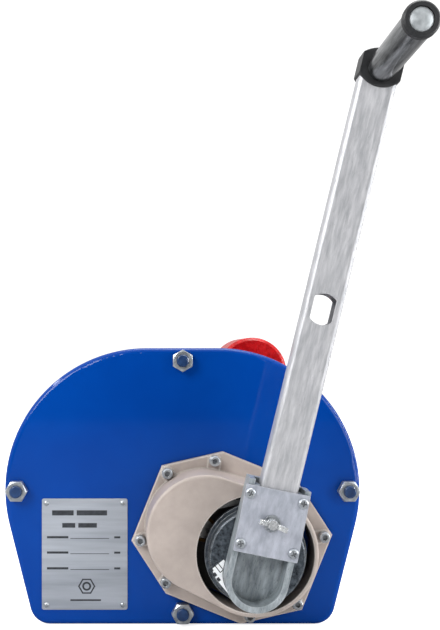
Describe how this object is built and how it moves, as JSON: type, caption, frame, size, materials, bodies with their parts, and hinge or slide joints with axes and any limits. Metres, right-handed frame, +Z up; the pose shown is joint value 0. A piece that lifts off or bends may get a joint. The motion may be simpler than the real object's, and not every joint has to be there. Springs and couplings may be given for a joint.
{
  "type": "geared hand winch",
  "caption": "Frame-mounted hand winch: two pressed side plates, rope drum, two-stage gears behind a cast cover, load brake, and a long sliding crank with a turning grip.",
  "frame": {"origin": "middle of the four base holes, on the face the winch stands on", "axes": "+X to the right seen from the crank side, +Y from the crank side to the back along the drum's axis, +Z up"},
  "size_m": [0.3685, 0.4502, 0.5371],
  "materials": {
    "blue_paint": "gloss enamel",
    "zinc_fasteners": "zinc plated",
    "blue_rods": "painted",
    "cover_paint": "satin enamel on a casting",
    "cast_iron": "as cast",
    "machined_steel": "machined",
    "spring_steel": "oiled",
    "bronze": "machined",
    "friction_lining": "pressed lining",
    "zinc_hub": "zinc plated",
    "galvanised": "hot-dip galvanised",
    "grip_steel": "bright zinc plated",
    "black_plastic": "moulded",
    "red_plastic": "moulded",
    "drum_paint": "satin enamel",
    "label_aluminium": "brushed",
    "gasket_paper": "pressed fibre",
    "sticker_film": "printed film"
  },
  "bodies": {
    "frame": {"front_side_plate": "blue_paint", "rear_side_plate": "blue_paint", "tie_rods": "blue_rods", "tie_rod_nuts": "zinc_fasteners", "gearbox_cover": "cover_paint", "cover_gasket": "gasket_paper", "cover_screws": "zinc_fasteners", "cover_spring_washers": "zinc_fasteners", "gear_case": "cast_iron", "gear_case_lid": "cast_iron", "gear_case_screws": "zinc_fasteners", "crank_shaft_bushes": "bronze", "intermediate_bushes": "bronze", "drum_axle": "machined_steel", "drum_spacer": "machined_steel", "axle_washer": "zinc_fasteners", "axle_nut": "zinc_fasteners", "pawl_pin": "machined_steel", "pawl_clip": "zinc_fasteners", "pawl_spring": "spring_steel", "label_plate": "label_aluminium", "label_rivets": "zinc_fasteners"},
    "drum": {"drum_barrel": "drum_paint", "drum_front_flange": "drum_paint", "drum_rear_flange": "drum_paint", "drum_hubs": "drum_paint", "drum_bushes": "bronze", "ring_gear": "cast_iron", "ring_gear_screws": "zinc_fasteners", "rope_clamp": "zinc_hub", "rope_clamp_screws": "zinc_fasteners"},
    "intermediate": {"intermediate_shaft": "machined_steel", "first_stage_gear": "machined_steel", "gear_key": "machined_steel"},
    "crank": {"crank_shaft": "machined_steel", "brake_back_flange": "machined_steel", "inner_friction_disc": "friction_lining", "outer_friction_disc": "friction_lining", "hub_flange": "zinc_hub", "crank_hub": "zinc_hub", "hub_cover_plate": "zinc_hub", "hub_plate_screws": "zinc_fasteners", "direction_sticker": "sticker_film"},
    "ratchet": {"ratchet_wheel": "machined_steel", "ratchet_bush": "bronze"},
    "wing_bolt_washer": {"wing_bolt_washer": "zinc_fasteners"},
    "wing_bolt": {"wing_bolt": "zinc_fasteners"},
    "arm": {"crank_arm": "galvanised", "arm_end_cap": "black_plastic", "grip_pin": "grip_steel", "grip_pin_head": "grip_steel"},
    "grip": {"grip_tube": "grip_steel", "grip_inner_bush": "black_plastic", "grip_end_ring": "black_plastic"},
    "pawl": {"pawl": "machined_steel"},
    "roller_frame": {"roller_frame": "drum_paint", "roller_spindle": "zinc_fasteners", "spindle_clips": "zinc_fasteners"},
    "roller": {"pressure_roller": "red_plastic"}
  },
  "joints": [
    {"name": "crank_spin", "type": "hinge", "parent": "frame", "child": "crank", "pos_m": [0.06644, -0.15, 0.07941], "axis": [0, 1, 0], "continuous": true},
    {"name": "intermediate_spin", "type": "hinge", "parent": "frame", "child": "intermediate", "pos_m": [0.02008, -0.1, 0.09814], "axis": [0, 1, 0], "continuous": true},
    {"name": "drum_spin", "type": "hinge", "parent": "frame", "child": "drum", "pos_m": [0, 0, 0.13273], "axis": [0, 1, 0], "continuous": true},
    {"name": "ratchet_turn", "type": "hinge", "parent": "frame", "child": "ratchet", "pos_m": [0.06644, -0.14, 0.07941], "axis": [0, 1, 0], "range_deg": [0, 20], "stiffness_Nm_per_rad": 0.05, "springref_deg": -28.65},
    {"name": "pawl_lift", "type": "hinge", "parent": "frame", "child": "pawl", "pos_m": [0.02956, -0.136, 0.12662], "axis": [0, -1, 0], "range_deg": [0, 8]},
    {"name": "arm_slide", "type": "slide", "parent": "crank", "child": "arm", "axis": [0.2351, 0, 0.972], "range_m": [-0.04, 0.012]},
    {"name": "grip_spin", "type": "hinge", "parent": "arm", "child": "grip", "pos_m": [0.17273, -0.26, 0.51873], "axis": [0, 1, 0], "continuous": true},
    {"name": "wing_bolt_travel", "type": "slide", "parent": "crank", "child": "wing_bolt_washer", "axis": [0, -1, 0], "range_m": [0, 0.003]},
    {"name": "wing_bolt_turn", "type": "hinge", "parent": "wing_bolt_washer", "child": "wing_bolt", "pos_m": [0.07552, -0.2, 0.11693], "axis": [0, -1, 0], "range_deg": [0, 1081]},
    {"name": "roller_swing", "type": "hinge", "parent": "frame", "child": "roller_frame", "pos_m": [0, 0, 0.2595], "axis": [0, 1, 0], "range_deg": [0, 47]},
    {"name": "roller_spin", "type": "hinge", "parent": "roller_frame", "child": "roller", "pos_m": [0.073, 0, 0.2475], "axis": [0, 1, 0], "continuous": true}
  ],
  "couplings": [
    {"joint": "intermediate_spin", "follows": "crank_spin", "ratio": -0.31579},
    {"joint": "drum_spin", "follows": "crank_spin", "ratio": -0.086124},
    {"joint": "pawl_lift", "follows": "ratchet_turn", "ratio": 0.4},
    {"joint": "wing_bolt_turn", "follows": "wing_bolt_travel", "rad_per_m": 6283.2}
  ]
}
